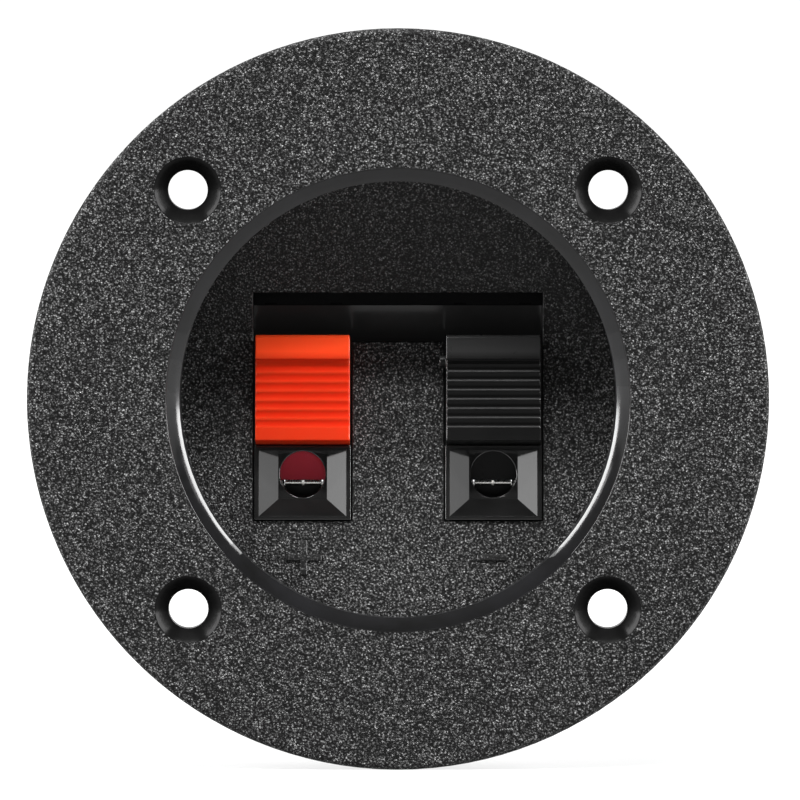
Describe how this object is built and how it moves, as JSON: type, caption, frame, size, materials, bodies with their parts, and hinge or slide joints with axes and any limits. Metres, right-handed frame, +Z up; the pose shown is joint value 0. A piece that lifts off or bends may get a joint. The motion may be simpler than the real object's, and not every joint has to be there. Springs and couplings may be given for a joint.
{
  "type": "speaker terminal",
  "caption": "Round recessed speaker terminal cup with a countersunk flange, a V-shaped dish and a red and a black sliding release button over funnel wire entries.",
  "frame": {"origin": "centre of the circle of screw holes, on the rear face of the flange that lies on the panel", "axes": "+X to the right seen from the front, +Z up, +Y into the panel; the front faces -Y"},
  "size_m": [0.075, 0.0251, 0.075],
  "materials": {
    "grained_plastic": "grained black",
    "gloss_black": "smooth glossy black",
    "button_red": "smooth orange red",
    "button_black": "smooth satin black",
    "plated_contact": "tin plated",
    "spring_steel": "drawn wire",
    "cover_plastic": "plain black",
    "screw_steel": "zinc plated"
  },
  "bodies": {
    "housing": {"cup": "grained_plastic", "terminal_block": "gloss_black", "contact_red": "plated_contact", "contact_black": "plated_contact", "rear_cover": "cover_plastic", "cover_screws": "screw_steel", "return_spring_red": "spring_steel", "return_spring_black": "spring_steel"},
    "button_red": {"release_button_red": "button_red"},
    "button_black": {"release_button_black": "button_black"}
  },
  "joints": [
    {"name": "red_button_slide", "type": "slide", "parent": "housing", "child": "button_red", "axis": [0, 0.2419, 0.9703], "range_m": [0, 0.0032], "stiffness_N_per_m": 600, "springref_m": -0.004, "deforming": ["return_spring_red"]},
    {"name": "black_button_slide", "type": "slide", "parent": "housing", "child": "button_black", "axis": [0, 0.2419, 0.9703], "range_m": [0, 0.0032], "stiffness_N_per_m": 600, "springref_m": -0.004, "deforming": ["return_spring_black"]}
  ]
}
